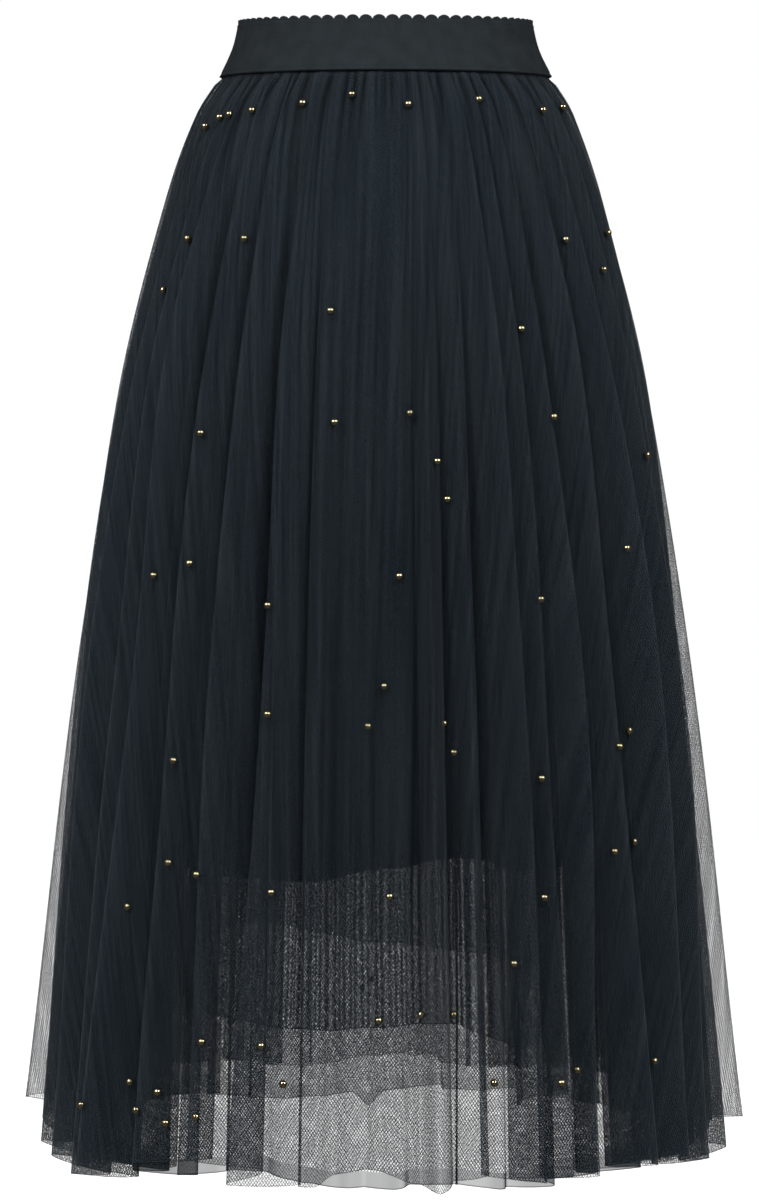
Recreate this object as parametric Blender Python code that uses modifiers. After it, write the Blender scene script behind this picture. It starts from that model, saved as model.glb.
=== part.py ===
"""A midi skirt of gathered tulle, filled out as it is when worn, in metres with +Z up.

The skirt hangs from a wide elastic waistband with a scalloped top edge. Four layers are
gathered into the band's lower edge, one inside the other: the outer tulle, a slightly longer
under tulle, a crinkled voile and a slim lining. Each layer has a front and a back panel, and
the two meet at the side seams. The front looks along -Y, and the origin is the middle of the
waist, where the wearer holds the skirt up.

A panel is a sheet laid through sections. A section is an ellipse round the wearer at one
height, and the panel's folds stand out from it: each row of a fold table is one ridge, and the
valleys lie halfway between ridges. A fold that leans far enough laps over itself.
"""

import math
import random
from collections import namedtuple

import bmesh
import bpy
from mathutils import Vector

# --- Driving dimensions -----------------------------------------------------------------------

CLOTH_WALL = 0.0010  # a layer of cloth with the air that its fibres hold
BAND_WALL = 0.0020  # the doubled elastic
SEAM_GAP = 0.0003  # between the front and back panels at each side seam
SEAM_STRIP = 0.0025  # the flat edge of a panel beside its side seam
FRONT_DIP = 0.0125  # how much lower than the sides the waist sits in front, and higher behind
BACK_UNEVENNESS = 0.12  # how much smaller than the front's the back's folds may be, as a share
BACK_SHIFT = 1.2  # degrees that a fold of the back may be moved by
SEED = 11

SCALLOPS = 72  # small loops along the band's top edge
SCALLOP_HEIGHT = 0.0035
SCALLOP_CORNERS = (0.0, 1.0, 1.0)  # each loop rises, runs level and falls again

# --- The band: half its breadth and half its depth at three heights ---------------------------

BandSection = namedtuple("BandSection", "height half_breadth half_depth")
BAND_SECTIONS = (
    BandSection(0.0225, 0.1117, 0.0840),
    BandSection(0.0040, 0.1163, 0.0895),
    BandSection(-0.0175, 0.1260, 0.0995),
)

# --- The layers' sections ---------------------------------------------------------------------
# A section runs through the valleys of the folds. fold is the share of a fold's full size at
# that height, and dip the share of FRONT_DIP. The last row of each table is the hem, whose
# height comes from the layer's hem line.

Section = namedtuple("Section", "height half_breadth half_depth fold dip")
OUTER_SECTIONS = (
    Section(-0.0130, 0.1205, 0.0935, 0.00, 1.00),
    Section(-0.0180, 0.1240, 0.0972, 0.00, 1.00),
    Section(-0.0450, 0.1412, 0.1125, 0.12, 0.95),
    Section(-0.1100, 0.1640, 0.1335, 0.20, 0.60),
    Section(-0.2600, 0.1960, 0.1660, 0.45, 0.15),
    Section(-0.4800, 0.2190, 0.1980, 0.75, 0.00),
    Section(-0.8080, 0.2395, 0.2380, 1.00, 0.00),
)
UNDER_SECTIONS = (
    Section(-0.0130, 0.1190, 0.0920, 0.00, 1.00),
    Section(-0.0450, 0.1372, 0.1080, 0.12, 0.95),
    Section(-0.1100, 0.1585, 0.1275, 0.20, 0.60),
    Section(-0.2600, 0.1862, 0.1560, 0.45, 0.15),
    Section(-0.4800, 0.2042, 0.1830, 0.75, 0.00),
    Section(-0.8200, 0.2205, 0.2190, 1.00, 0.00),
)
VOILE_SECTIONS = (
    Section(-0.0130, 0.1175, 0.0905, 0.00, 1.00),
    Section(-0.0450, 0.1335, 0.1040, 0.12, 0.95),
    Section(-0.1100, 0.1530, 0.1220, 0.20, 0.60),
    Section(-0.2600, 0.1765, 0.1450, 0.45, 0.15),
    Section(-0.7150, 0.2020, 0.1840, 1.00, 0.00),
)
LINING_SECTIONS = (
    Section(-0.0130, 0.1160, 0.0890, 0.00, 1.00),
    Section(-0.0450, 0.1290, 0.0990, 0.12, 0.95),
    Section(-0.1100, 0.1450, 0.1150, 0.20, 0.60),
    Section(-0.2600, 0.1570, 0.1310, 0.45, 0.15),
    Section(-0.6110, 0.1510, 0.1390, 1.00, 0.00),
)

# --- The folds of each front panel, from its left seam to its right one -----------------------
# at is the ridge's place in degrees round from the middle of the front, depth how far it
# stands out from the valleys at the hem, and lean how far it is pushed to the right there. late
# is 1 for a ridge that grows evenly on its way down, and more for one that grows mostly near
# the hem, as the thin wings at the side seams do.

Fold = namedtuple("Fold", "at depth lean late")
OUTER_FOLDS = (
    Fold(-90.0, 0.036, 0.000, 2.4),
    Fold(-80.0, 0.018, -0.014, 1.0),
    Fold(-72.5, 0.024, -0.020, 1.0),
    Fold(-64.0, 0.024, -0.024, 1.0),
    Fold(-56.0, 0.018, -0.018, 1.0),
    Fold(-48.5, 0.024, -0.024, 1.0),
    Fold(-37.5, 0.022, -0.018, 1.0),
    Fold(-29.5, 0.020, -0.012, 1.0),
    Fold(-19.5, 0.022, -0.018, 1.0),
    Fold(-12.0, 0.012, 0.004, 1.0),
    Fold(-4.0, 0.010, 0.003, 1.0),
    Fold(2.4, 0.006, 0.000, 1.0),
    Fold(8.4, 0.024, -0.002, 1.0),
    Fold(14.4, 0.014, 0.005, 1.0),
    Fold(21.5, 0.020, 0.015, 1.0),
    Fold(26.5, 0.018, 0.012, 1.0),
    Fold(32.0, 0.022, 0.015, 1.0),
    Fold(41.0, 0.024, 0.018, 1.0),
    Fold(51.0, 0.024, 0.024, 1.0),
    Fold(62.0, 0.022, 0.022, 1.0),
    Fold(71.0, 0.018, 0.016, 1.0),
    Fold(80.5, 0.015, 0.010, 1.0),
    Fold(90.0, 0.034, 0.000, 2.4),
)
UNDER_FOLDS = (
    Fold(-90.0, 0.016, 0.000, 1.0),
    Fold(-80.0, 0.016, -0.014, 1.0),
    Fold(-71.0, 0.017, -0.019, 1.0),
    Fold(-62.0, 0.016, -0.019, 1.0),
    Fold(-53.0, 0.017, -0.019, 1.0),
    Fold(-44.5, 0.016, -0.017, 1.0),
    Fold(-36.0, 0.014, -0.010, 1.0),
    Fold(-27.0, 0.012, -0.004, 1.0),
    Fold(-17.0, 0.010, 0.003, 1.0),
    Fold(-8.0, 0.008, 0.002, 1.0),
    Fold(1.0, 0.008, 0.002, 1.0),
    Fold(10.0, 0.010, 0.008, 1.0),
    Fold(19.0, 0.010, 0.003, 1.0),
    Fold(28.0, 0.012, 0.006, 1.0),
    Fold(36.5, 0.015, 0.012, 1.0),
    Fold(45.0, 0.016, 0.017, 1.0),
    Fold(54.0, 0.017, 0.019, 1.0),
    Fold(63.0, 0.016, 0.019, 1.0),
    Fold(72.0, 0.017, 0.019, 1.0),
    Fold(81.0, 0.016, 0.014, 1.0),
    Fold(90.0, 0.016, 0.000, 1.0),
)
VOILE_FOLDS = (
    Fold(-90.0, 0.008, 0.000, 1.0),
    Fold(-79.0, 0.010, 0.002, 1.0),
    Fold(-67.0, 0.008, 0.003, 1.0),
    Fold(-56.0, 0.010, 0.002, 1.0),
    Fold(-46.0, 0.008, 0.003, 1.0),
    Fold(-34.0, 0.008, 0.002, 1.0),
    Fold(-22.0, 0.006, 0.001, 1.0),
    Fold(-11.0, 0.008, 0.002, 1.0),
    Fold(1.0, 0.006, 0.001, 1.0),
    Fold(11.0, 0.008, 0.002, 1.0),
    Fold(23.0, 0.008, 0.003, 1.0),
    Fold(34.0, 0.010, 0.002, 1.0),
    Fold(44.0, 0.008, 0.002, 1.0),
    Fold(56.0, 0.010, 0.003, 1.0),
    Fold(67.0, 0.008, 0.002, 1.0),
    Fold(78.0, 0.010, 0.002, 1.0),
    Fold(90.0, 0.008, 0.000, 1.0),
)
LINING_FOLDS = (
    Fold(-90.0, 0.006, 0.000, 1.0),
    Fold(-68.0, 0.010, 0.002, 1.0),
    Fold(-46.0, 0.008, 0.002, 1.0),
    Fold(-21.0, 0.010, 0.001, 1.0),
    Fold(2.0, 0.006, 0.001, 1.0),
    Fold(24.0, 0.010, 0.002, 1.0),
    Fold(45.0, 0.008, 0.002, 1.0),
    Fold(69.0, 0.010, 0.002, 1.0),
    Fold(90.0, 0.006, 0.000, 1.0),
)

# --- The hem lines: how high each hem hangs, in degrees right round ---------------------------

Hang = namedtuple("Hang", "at height")
OUTER_HEM = (
    Hang(-180, -0.808),
    Hang(-105, -0.800),
    Hang(-90, -0.797),
    Hang(-74, -0.820),
    Hang(-58, -0.825),
    Hang(-45, -0.809),
    Hang(-40, -0.814),
    Hang(-30, -0.801),
    Hang(-17, -0.811),
    Hang(-3, -0.807),
    Hang(7, -0.814),
    Hang(17, -0.806),
    Hang(29, -0.816),
    Hang(40, -0.808),
    Hang(63, -0.822),
    Hang(88, -0.812),
    Hang(120, -0.806),
    Hang(180, -0.808),
)
UNDER_HEM = (
    Hang(-180, -0.833),
    Hang(-177, -0.843),
    Hang(-172, -0.831),
    Hang(-120, -0.824),
    Hang(-90, -0.812),
    Hang(-53, -0.822),
    Hang(-28, -0.814),
    Hang(-11, -0.823),
    Hang(10, -0.819),
    Hang(28, -0.823),
    Hang(54, -0.818),
    Hang(90, -0.820),
    Hang(120, -0.826),
    Hang(144, -0.828),
    Hang(149, -0.843),
    Hang(154, -0.830),
    Hang(180, -0.833),
)
VOILE_HEM = (
    Hang(-180, -0.702),
    Hang(-147, -0.682),
    Hang(-124, -0.708),
    Hang(-90, -0.712),
    Hang(-46, -0.709),
    Hang(-16, -0.718),
    Hang(12, -0.713),
    Hang(28, -0.733),
    Hang(46, -0.745),
    Hang(90, -0.748),
    Hang(136, -0.738),
    Hang(158, -0.709),
    Hang(180, -0.702),
)
LINING_HEM = (
    Hang(-180, -0.606),
    Hang(-90, -0.607),
    Hang(-55, -0.619),
    Hang(-20, -0.619),
    Hang(0, -0.609),
    Hang(20, -0.602),
    Hang(42, -0.614),
    Hang(90, -0.612),
    Hang(180, -0.606),
)

# --- The layers -------------------------------------------------------------------------------
# corners is how many edges of the solid make one fold.

Layer = namedtuple("Layer", "name sections folds hem corners colour roughness")
LAYERS = (
    Layer("outer_tulle", OUTER_SECTIONS, OUTER_FOLDS, OUTER_HEM, 5, (0.016, 0.020, 0.025), 0.85),
    Layer("under_tulle", UNDER_SECTIONS, UNDER_FOLDS, UNDER_HEM, 4, (0.019, 0.023, 0.028), 0.85),
    Layer("voile", VOILE_SECTIONS, VOILE_FOLDS, VOILE_HEM, 4, (0.022, 0.026, 0.032), 0.75),
    Layer("lining", LINING_SECTIONS, LINING_FOLDS, LINING_HEM, 4, (0.010, 0.013, 0.018), 0.60),
)
BAND_COLOUR = (0.026, 0.032, 0.037)
BAND_ROUGHNESS = 0.80


def mixed(first, second, share):
    """The value that lies this share of the way from first to second."""
    return first + (second - first) * share


def material(name, colour, roughness):
    made = bpy.data.materials.new(name)
    made.use_nodes = True
    surface = made.node_tree.nodes["Principled BSDF"]
    surface.inputs["Base Color"].default_value = (*colour, 1.0)
    surface.inputs["Roughness"].default_value = roughness
    surface.inputs["Metallic"].default_value = 0.0
    return made


def on_ellipse(degrees, half_breadth, half_depth):
    """A point of a section, with the directions out of it and along it to the right."""
    turn = math.radians(degrees)
    point = Vector((half_breadth * math.sin(turn), -half_depth * math.cos(turn), 0.0))
    along = Vector((half_breadth * math.cos(turn), half_depth * math.sin(turn), 0.0)).normalized()
    out = Vector((along.y, -along.x, 0.0))
    return point, out, along


def dip(degrees):
    """How far the tilt of the waist moves a point up: down in front, up behind."""
    return -FRONT_DIP * math.cos(math.radians(degrees))


def hem_height(hem, degrees):
    """The height of a hem line at an angle, eased from one row of its table to the next."""
    degrees = (degrees + 180.0) % 360.0 - 180.0
    for first, second in zip(hem, hem[1:]):
        if degrees <= second.at:
            share = (degrees - first.at) / (second.at - first.at)
            return mixed(first.height, second.height, share * share * (3.0 - 2.0 * share))
    return hem[-1].height


def back_folds(front, chance):
    """A back panel's folds: the front's in a mirror, made uneven, ending at the same seams."""
    inner = [
        Fold(
            180.0 - fold.at + chance.uniform(-1.0, 1.0) * BACK_SHIFT,
            fold.depth * (1.0 - chance.random() * BACK_UNEVENNESS),
            -fold.lean * (1.0 - chance.random() * BACK_UNEVENNESS),
            fold.late,
        )
        for fold in reversed(front[1:-1])
    ]
    right_seam, left_seam = front[-1], front[0]
    return (
        right_seam,
        *inner,
        left_seam._replace(at=270.0),
    )


def panel_columns(folds, corners):
    """The ridge count and the sideways shift of each edge of a panel, from seam to seam."""
    last = len(folds) - 1
    between = [(step / corners, 0.0) for step in range(1, last * corners)]
    left = [(0.0, SEAM_GAP / 2), (0.0, SEAM_STRIP)]
    right = [(float(last), -SEAM_STRIP), (float(last), -SEAM_GAP / 2)]
    return left + between + right


def on_panel(layer, folds, ridge, shift, section):
    """The point of a layer at a section, ridge folds along from the panel's first seam."""
    low = min(int(ridge), len(folds) - 2)
    share = ridge - low
    first, second = folds[low], folds[low + 1]
    degrees = mixed(first.at, second.at, share)
    swing = math.cos(2.0 * math.pi * ridge)
    grown = section.fold ** mixed(first.late, second.late, share)
    point, out, along = on_ellipse(degrees, section.half_breadth, section.half_depth)
    point += out * (mixed(first.depth, second.depth, share) * (1.0 + swing) / 2.0 * grown)
    point += along * (mixed(first.lean, second.lean, share) * swing * section.fold + shift)
    if section is layer.sections[-1]:
        point.z = hem_height(layer.hem, degrees)
    else:
        point.z = section.height + dip(degrees) * section.dip
    return point


def sheet_object(name, shell, wall, finish, collection, waist):
    """An open sheet with a wall's thickness, as one named piece of the skirt."""
    mesh = bpy.data.meshes.new(name)
    shell.to_mesh(mesh)
    shell.free()
    mesh.materials.append(finish)
    mesh.shade_smooth()
    mesh.set_sharp_from_angle(angle=math.radians(40.0))
    piece = bpy.data.objects.new(name, mesh)
    collection.objects.link(piece)
    piece.parent = waist
    thickness = piece.modifiers.new("wall", "SOLIDIFY")
    thickness.thickness = wall
    thickness.offset = 0.0
    thickness.use_even_offset = True
    thickness.use_quality_normals = True
    return piece


def make_panel(layer, side, folds, collection, waist):
    """One panel: a grid whose columns follow the folds and whose rows are the sections."""
    columns = panel_columns(folds, layer.corners)
    rows = len(layer.sections) - 1
    shell = bmesh.new()
    bmesh.ops.create_grid(shell, x_segments=len(columns) - 1, y_segments=rows, size=1.0)
    for vertex in shell.verts:
        column = round((vertex.co.x + 1.0) / 2.0 * (len(columns) - 1))
        row = round((1.0 - vertex.co.y) / 2.0 * rows)
        ridge, shift = columns[column]
        vertex.co = on_panel(layer, folds, ridge, shift, layer.sections[row])
    name = f"{layer.name}_{side}"
    finish = material(name, layer.colour, layer.roughness)
    return sheet_object(name, shell, CLOTH_WALL, finish, collection, waist)


def make_waistband(collection, waist):
    """The elastic band: a closed flaring ring whose top edge rises in small scallops."""
    around = SCALLOPS * len(SCALLOP_CORNERS)
    rows = len(BAND_SECTIONS) - 1
    shell = bmesh.new()
    bmesh.ops.create_grid(shell, x_segments=around, y_segments=rows, size=1.0)
    for vertex in shell.verts:
        column = round((vertex.co.x + 1.0) / 2.0 * around) % around
        row = round((1.0 - vertex.co.y) / 2.0 * rows)
        section = BAND_SECTIONS[row]
        degrees = 360.0 * column / around
        point, _, _ = on_ellipse(degrees, section.half_breadth, section.half_depth)
        rise = SCALLOP_HEIGHT * SCALLOP_CORNERS[column % len(SCALLOP_CORNERS)]
        point.z = section.height + dip(degrees) + (rise if row == 0 else 0.0)
        vertex.co = point
    bmesh.ops.remove_doubles(shell, verts=shell.verts, dist=0.00001)
    finish = material("waistband", BAND_COLOUR, BAND_ROUGHNESS)
    return sheet_object("waistband", shell, BAND_WALL, finish, collection, waist)


def build_skirt():
    for old in list(bpy.data.objects):
        bpy.data.objects.remove(old, do_unlink=True)
    collection = bpy.data.collections.new("tulle_midi_skirt")
    bpy.context.scene.collection.children.link(collection)
    waist = bpy.data.objects.new("waist", None)
    waist.empty_display_size = 0.05
    collection.objects.link(waist)

    make_waistband(collection, waist)
    chance = random.Random(SEED)
    for layer in LAYERS:
        make_panel(layer, "front", layer.folds, collection, waist)
        make_panel(layer, "back", back_folds(layer.folds, chance), collection, waist)


build_skirt()
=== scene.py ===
import math
import random
from collections import namedtuple

import bmesh
import bpy
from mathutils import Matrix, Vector
from mathutils.bvhtree import BVHTree


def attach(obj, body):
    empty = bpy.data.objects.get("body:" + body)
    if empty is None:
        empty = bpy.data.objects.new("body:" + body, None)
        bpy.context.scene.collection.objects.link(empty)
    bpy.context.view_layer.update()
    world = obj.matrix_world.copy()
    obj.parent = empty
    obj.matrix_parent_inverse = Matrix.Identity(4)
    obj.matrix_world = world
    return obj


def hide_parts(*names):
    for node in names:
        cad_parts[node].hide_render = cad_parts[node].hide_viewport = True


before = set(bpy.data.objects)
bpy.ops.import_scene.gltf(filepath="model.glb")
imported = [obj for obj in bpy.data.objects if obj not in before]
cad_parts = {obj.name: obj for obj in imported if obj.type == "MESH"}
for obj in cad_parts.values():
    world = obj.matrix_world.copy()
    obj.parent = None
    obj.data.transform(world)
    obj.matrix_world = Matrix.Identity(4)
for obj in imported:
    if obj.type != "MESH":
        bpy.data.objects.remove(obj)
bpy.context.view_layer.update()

# --- The room ---------------------------------------------------------------------------------
# A plain white room with a pale floor well below the hem, so that white shows between the
# threads of the net. A tall lamp stands to the left of the camera and a weaker one to the right,
# a third hangs overhead, and the camera looks level at the middle of the skirt.

PIXEL = 0.000765  # metres across the middle of the skirt to one pixel of the 759 x 1200 picture
CAMERA_AWAY = 2800 * PIXEL
CAMERA_RIGHT = -6 * PIXEL
EYE_HEIGHT = -0.417
LENS = 84.0

view = bpy.data.cameras.new("camera")
view.lens = LENS
camera = bpy.data.objects.new("camera", view)
camera.location = (CAMERA_RIGHT, -CAMERA_AWAY, EYE_HEIGHT)
camera.rotation_euler = (math.radians(90.0), 0.0, 0.0)
bpy.context.scene.collection.objects.link(camera)
bpy.context.scene.camera = camera


def add_node(tree, kind, **settings):
    """A node of this kind with its settings made."""
    node = tree.nodes.new(kind)
    for setting, value in settings.items():
        setattr(node, setting, value)
    return node


def arithmetic(tree, operation, first, second=0.0, third=0.0):
    """The output of a Math node whose inputs are numbers or other nodes' outputs."""
    node = add_node(tree, "ShaderNodeMath", operation=operation)
    for socket, value in zip(node.inputs, (first, second, third)):
        if isinstance(value, (int, float)):
            socket.default_value = value
        else:
            tree.links.new(value, socket)
    return node.outputs[0]


WALLS_SHOW = 1.0  # how white the room looks
WALLS_LIGHT = 0.30  # how much light its walls throw on the skirt
WALLS_GLOSS = 0.05  # how bright they are in a polished bead

room = bpy.data.worlds.new("white room")
room.use_nodes = True
tree = room.node_tree
walls = tree.nodes["Background"]
walls.inputs["Color"].default_value = (1.0, 1.0, 1.0, 1.0)
rays = add_node(tree, "ShaderNodeLightPath")
strength = arithmetic(
    tree, "MULTIPLY_ADD", rays.outputs["Is Camera Ray"], WALLS_SHOW - WALLS_LIGHT, WALLS_LIGHT
)
strength = arithmetic(
    tree, "MULTIPLY_ADD", rays.outputs["Is Glossy Ray"], WALLS_GLOSS - WALLS_LIGHT, strength
)
tree.links.new(strength, walls.inputs["Strength"])
bpy.context.scene.world = room
bpy.context.scene.view_settings.view_transform = "Standard"
bpy.context.scene.cycles.transparent_max_bounces = 24  # enough for the folds of four sheer layers
bpy.context.scene.cycles.max_bounces = 3  # dark cloth passes on next to no light
bpy.context.scene.cycles.diffuse_bounces = 1


def soft_lamp(name, place, breadth, height, watts, in_gloss=True):
    """An oblong lamp facing the middle of the skirt, which shows in the beads if it's in_gloss."""
    data = bpy.data.lights.new(name, "AREA")
    data.shape = "RECTANGLE"
    data.size = breadth
    data.size_y = height
    data.energy = watts
    lamp = bpy.data.objects.new(name, data)
    lamp.location = place
    lamp.visible_glossy = in_gloss
    towards = Vector((0.0, 0.0, EYE_HEIGHT)) - Vector(place)
    lamp.rotation_euler = towards.to_track_quat("-Z", "Y").to_euler()
    bpy.context.scene.collection.objects.link(lamp)


soft_lamp("left lamp", place=(-1.35, -1.25, 0.80), breadth=0.32, height=1.1, watts=26.0)
soft_lamp("right lamp", place=(1.35, -1.25, 0.80), breadth=0.32, height=1.1, watts=23.0)
soft_lamp("top lamp", place=(0.1, -1.1, 1.4), breadth=1.2, height=0.8, watts=16.0, in_gloss=False)


def plain_material(name, colour, roughness, specular=0.5):
    """A material with a Principled shader, and its tree and shader to build on."""
    made = bpy.data.materials.new(name)
    made.use_nodes = True
    surface = made.node_tree.nodes["Principled BSDF"]
    surface.inputs["Base Color"].default_value = (*colour, 1.0)
    surface.inputs["Roughness"].default_value = roughness
    surface.inputs["Specular IOR Level"].default_value = specular
    return made, made.node_tree, surface


FLOOR_HEIGHT = -1.06
FLOOR_RADIUS = 5.0
FLOOR_LIGHT = 0.05  # how much light the floor throws on the skirt
FLOOR_SHOWS = 0.7  # and how much whiter than that it looks

paint, tree, surface = plain_material("pale floor", (0.95, 0.95, 0.95), roughness=0.9)
surface.inputs["Emission Color"].default_value = (1.0, 1.0, 1.0, 1.0)
rays = add_node(tree, "ShaderNodeLightPath")
glow = arithmetic(tree, "MULTIPLY_ADD", rays.outputs["Is Camera Ray"], FLOOR_SHOWS, FLOOR_LIGHT)
tree.links.new(glow, surface.inputs["Emission Strength"])
floor_shape = bmesh.new()
bmesh.ops.create_circle(floor_shape, cap_ends=True, segments=96, radius=FLOOR_RADIUS)
bmesh.ops.translate(floor_shape, verts=floor_shape.verts, vec=(0.0, 0.0, FLOOR_HEIGHT))
floor_mesh = bpy.data.meshes.new("floor")
floor_shape.to_mesh(floor_mesh)
floor_shape.free()
floor_mesh.materials.append(paint)
floor = bpy.data.objects.new("floor", floor_mesh)
bpy.context.scene.collection.objects.link(floor)
floor.visible_glossy = False

# --- The waistband ----------------------------------------------------------------------------
# One wide loop of knitted elastic, doubled, with fine upright ribs and a row of small rounded
# loops along its top edge. Its lower edge is stitched down over the gathered cloth.

FRONT_DIP = 0.0125  # the waist sits this much lower in front than at the sides
BAND_WALL = 0.0020
BAND_GIRTH = 0.70
SCALLOPS = 72
SCALLOP_HEIGHT = 0.0035
SCALLOP_STEPS = 12  # columns to a scallop
BAND_ROWS = 44
BAND_TOP_ROWS = 4  # rows in the scallops themselves
CORD_DOWN = 0.0014  # a fine cord runs this far under the scallops
CORD_OUT = 0.0005
CORD_SHARP = 3.0  # a higher number makes it narrower
STITCHES_UP = 0.0022  # the stitching that holds the band to the cloth, above its lower edge
STITCH_IN = 0.0005
STITCH_SHARP = 6.0
PUCKER = 0.0006  # how far the stitching pulls the band's lower edge in and out
PUCKERS_REACH = 0.014
RIB_PITCH = 0.0013
COURSE_PITCH = 0.0009
COURSE_SHARE = 0.6  # the courses of the knitting stand out less than its ribs
KNIT_DEPTH = 0.0002
PATCHES_SCALE = 90.0
BAND_COLOUR = (0.0128, 0.0163, 0.0190)
BAND_PALE = (0.0180, 0.0224, 0.0258)

BandSection = namedtuple("BandSection", "height half_breadth half_depth")
BAND_SECTIONS = (
    BandSection(0.0225, 0.1117, 0.0840),
    BandSection(0.0040, 0.1163, 0.0895),
    BandSection(-0.0175, 0.1260, 0.0995),
)


def read_smoothly(rows, place):
    """The values of a table at a place between two of its rows, on a curve through the rows."""
    falling = rows[-1][0] < rows[0][0]
    low = sum(1 for row in rows[1:-1] if place != row[0] and (place < row[0]) == falling)
    first, second = rows[low], rows[low + 1]
    before, after = rows[max(low - 1, 0)], rows[min(low + 2, len(rows) - 1)]
    span = second[0] - first[0]
    share = (place - first[0]) / span
    square, cube = share * share, share * share * share
    values = []
    for column in range(1, len(first)):
        leaving = (second[column] - before[column]) / (second[0] - before[0]) * span
        arriving = (after[column] - first[column]) / (after[0] - first[0]) * span
        values.append(
            first[column] * (2.0 * cube - 3.0 * square + 1.0)
            + leaving * (cube - 2.0 * square + share)
            + second[column] * (3.0 * square - 2.0 * cube)
            + arriving * (cube - square)
        )
    return values


def on_ellipse(degrees, half_breadth, half_depth):
    """A point of a section, with the directions out of it and along it to the right."""
    turn = math.radians(degrees)
    point = Vector((half_breadth * math.sin(turn), -half_depth * math.cos(turn), 0.0))
    along = Vector((half_breadth * math.cos(turn), half_depth * math.sin(turn), 0.0)).normalized()
    out = Vector((along.y, -along.x, 0.0))
    return point, out, along


def dip(degrees):
    """How far the tilt of the waist moves a point up: down in front, up behind."""
    return -FRONT_DIP * math.cos(math.radians(degrees))


def new_piece(name, shape, finish):
    """The smooth object of a finished bmesh, which rides on the skirt's one body."""
    mesh = bpy.data.meshes.new(name)
    shape.to_mesh(mesh)
    shape.free()
    mesh.materials.append(finish)
    mesh.shade_smooth()
    piece = bpy.data.objects.new(name, mesh)
    bpy.context.scene.collection.objects.link(piece)
    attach(piece, "root")
    return piece


def cloth_place(tree):
    """A piece's own cloth map, in metres, and how far along the cloth and how far up it is."""
    cloth_map = add_node(tree, "ShaderNodeUVMap", uv_map="cloth")
    parts = add_node(tree, "ShaderNodeSeparateXYZ")
    tree.links.new(cloth_map.outputs[0], parts.inputs[0])
    return cloth_map.outputs[0], parts.outputs["X"], parts.outputs["Y"]


def clouds(tree, place, scale, detail=2.0):
    """A cloudy pattern, about a half on average."""
    noise = add_node(tree, "ShaderNodeTexNoise")
    noise.inputs["Scale"].default_value = scale
    noise.inputs["Detail"].default_value = detail
    tree.links.new(place, noise.inputs["Vector"])
    return noise.outputs["Fac"]


def two_tones(tree, value, low, high, deep, pale):
    """A colour that goes from deep to pale as the value goes from low to high."""
    share = add_node(tree, "ShaderNodeMapRange")
    share.inputs["From Min"].default_value = low
    share.inputs["From Max"].default_value = high
    tree.links.new(value, share.inputs["Value"])
    tint = add_node(tree, "ShaderNodeMix", data_type="RGBA")
    tint.inputs["A"].default_value = (*deep, 1.0)
    tint.inputs["B"].default_value = (*pale, 1.0)
    tree.links.new(share.outputs[0], tint.inputs["Factor"])
    return tint.outputs["Result"]


elastic, tree, surface = plain_material("ribbed elastic", BAND_COLOUR, 0.85, specular=0.08)
cloth_map, along_band, up_band = cloth_place(tree)
rib = arithmetic(tree, "SINE", arithmetic(tree, "MULTIPLY", along_band, 2 * math.pi / RIB_PITCH))
course = arithmetic(tree, "SINE", arithmetic(tree, "MULTIPLY", up_band, 2 * math.pi / COURSE_PITCH))
knit = arithmetic(tree, "MULTIPLY_ADD", course, COURSE_SHARE, rib)
patches = clouds(tree, cloth_map, PATCHES_SCALE, detail=4.0)
tint = two_tones(tree, patches, low=0.3, high=0.7, deep=BAND_COLOUR, pale=BAND_PALE)
tree.links.new(tint, surface.inputs["Base Color"])
bump = add_node(tree, "ShaderNodeBump")
bump.inputs["Strength"].default_value = 0.5
bump.inputs["Distance"].default_value = KNIT_DEPTH
tree.links.new(knit, bump.inputs["Height"])
tree.links.new(bump.outputs[0], surface.inputs["Normal"])


def grid_place(vertex, columns, rows):
    """The column and the row, from the top, of a vertex of a grid that isn't laid out yet."""
    return round((vertex.co.x + 1.0) / 2.0 * columns), round((1.0 - vertex.co.y) / 2.0 * rows)


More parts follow.
